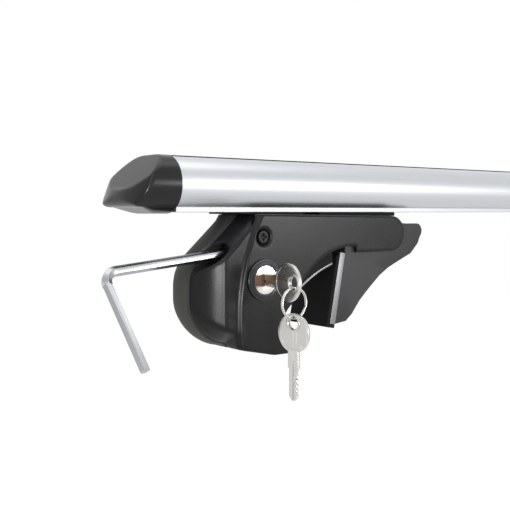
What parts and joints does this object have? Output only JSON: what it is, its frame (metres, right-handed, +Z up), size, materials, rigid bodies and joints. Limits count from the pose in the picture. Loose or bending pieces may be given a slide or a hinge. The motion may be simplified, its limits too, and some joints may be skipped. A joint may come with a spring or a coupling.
{
  "type": "roof rack crossbar",
  "caption": "Aluminium wing bar with rubber strip and end caps on two lockable feet that clamp a roof rail, with keys and hex key in place.",
  "frame": {"origin": "middle of the rubber strip's flat top, at half the bar's length", "axes": "+X along the bar, with the foot that holds the keys at -X; -Y the side of that foot's lock; +Z up, out of the load face"},
  "size_m": [1.273, 0.0837, 0.1365],
  "materials": {
    "bar_aluminium": "satin anodised",
    "black_rubber": "matt",
    "cap_plastic": "satin",
    "shell_plastic": "satin",
    "body_nylon": "matt glass-filled",
    "jaw_paint": "satin powder coat",
    "zinc_steel": "zinc plated",
    "plate_steel": "satin",
    "tool_steel": "nickel plated",
    "lock_body": "black chromate",
    "lock_nickel": "nickel plated",
    "key_nickel": "nickel plated, stamped"
  },
  "bodies": {
    "bar": {"bar": "bar_aluminium", "top_strip": "black_rubber", "end_cap_a": "cap_plastic", "end_cap_b": "cap_plastic"},
    "foot_a": {"centre_body_a": "body_nylon", "front_shell_a": "shell_plastic", "rear_shell_a": "shell_plastic", "saddle_pads_a": "black_rubber", "steel_bracket_a": "zinc_steel", "tee_bolts_a": "zinc_steel", "tee_nuts_a": "zinc_steel", "guide_pin_a": "zinc_steel", "rail_saddle_a": "body_nylon", "saddle_liner_a": "plate_steel", "thrust_washer_a": "zinc_steel", "lock_barrel_a": "lock_body", "lock_nut_a": "zinc_steel", "shell_screws_a": "zinc_steel"},
    "screw_a": {"clamp_screw_a": "zinc_steel", "hex_key": "tool_steel"},
    "jaw_a": {"jaw_a": "jaw_paint", "jaw_nut_a": "zinc_steel", "clamp_plate_a": "plate_steel", "jaw_pad_a": "black_rubber"},
    "lock_a": {"lock_plug_a": "lock_nickel", "lock_cam_a": "zinc_steel", "cam_screw_a": "zinc_steel", "key_in_lock": "key_nickel"},
    "foot_b": {"centre_body_b": "body_nylon", "front_shell_b": "shell_plastic", "rear_shell_b": "shell_plastic", "saddle_pads_b": "black_rubber", "steel_bracket_b": "zinc_steel", "tee_bolts_b": "zinc_steel", "tee_nuts_b": "zinc_steel", "guide_pin_b": "zinc_steel", "rail_saddle_b": "body_nylon", "saddle_liner_b": "plate_steel", "thrust_washer_b": "zinc_steel", "lock_barrel_b": "lock_body", "lock_nut_b": "zinc_steel", "shell_screws_b": "zinc_steel"},
    "screw_b": {"clamp_screw_b": "zinc_steel"},
    "jaw_b": {"jaw_b": "jaw_paint", "jaw_nut_b": "zinc_steel", "clamp_plate_b": "plate_steel", "jaw_pad_b": "black_rubber"},
    "lock_b": {"lock_plug_b": "lock_nickel", "lock_cam_b": "zinc_steel", "cam_screw_b": "zinc_steel"},
    "key_ring": {"key_ring": "key_nickel"},
    "spare_key": {"spare_key": "key_nickel"}
  },
  "joints": [
    {"name": "foot_a_slide", "type": "slide", "parent": "bar", "child": "foot_a", "axis": [1, 0, 0], "range_m": [-0.02, 0.15]},
    {"name": "screw_a_turn", "type": "hinge", "parent": "foot_a", "child": "screw_a", "pos_m": [-0.544, -0.012, -0.053], "axis": [0.9947, 0, 0.1028], "range_deg": [-3601, 721]},
    {"name": "jaw_a_slide", "type": "slide", "parent": "foot_a", "child": "jaw_a", "axis": [-0.9947, 0, -0.1028], "range_m": [-0.0125, 0.0025]},
    {"name": "lock_a_turn", "type": "hinge", "parent": "foot_a", "child": "lock_a", "pos_m": [-0.544, 0, -0.0708], "axis": [0, -1, 0], "range_deg": [0, 90]},
    {"name": "foot_b_slide", "type": "slide", "parent": "bar", "child": "foot_b", "axis": [-1, 0, 0], "range_m": [-0.02, 0.15]},
    {"name": "screw_b_turn", "type": "hinge", "parent": "foot_b", "child": "screw_b", "pos_m": [0.544, 0.012, -0.053], "axis": [-0.9947, 0, 0.1028], "range_deg": [-3601, 721]},
    {"name": "jaw_b_slide", "type": "slide", "parent": "foot_b", "child": "jaw_b", "axis": [0.9947, 0, -0.1028], "range_m": [-0.0125, 0.0025]},
    {"name": "lock_b_turn", "type": "hinge", "parent": "foot_b", "child": "lock_b", "pos_m": [0.544, 0, -0.0708], "axis": [0, 1, 0], "range_deg": [0, 90]},
    {"name": "ring_swing", "type": "hinge", "parent": "lock_a", "child": "key_ring", "pos_m": [-0.544, -0.0489, -0.0735], "axis": [1, 0, 0], "range_deg": [-60, 12]},
    {"name": "spare_key_swing", "type": "hinge", "parent": "key_ring", "child": "spare_key", "pos_m": [-0.544, -0.0489, -0.0903], "axis": [1, 0, 0], "range_deg": [-40, 12]}
  ],
  "couplings": [
    {"joint": "screw_a_turn", "follows": "jaw_a_slide", "rad_per_m": 5026.5},
    {"joint": "screw_b_turn", "follows": "jaw_b_slide", "rad_per_m": 5026.5}
  ]
}
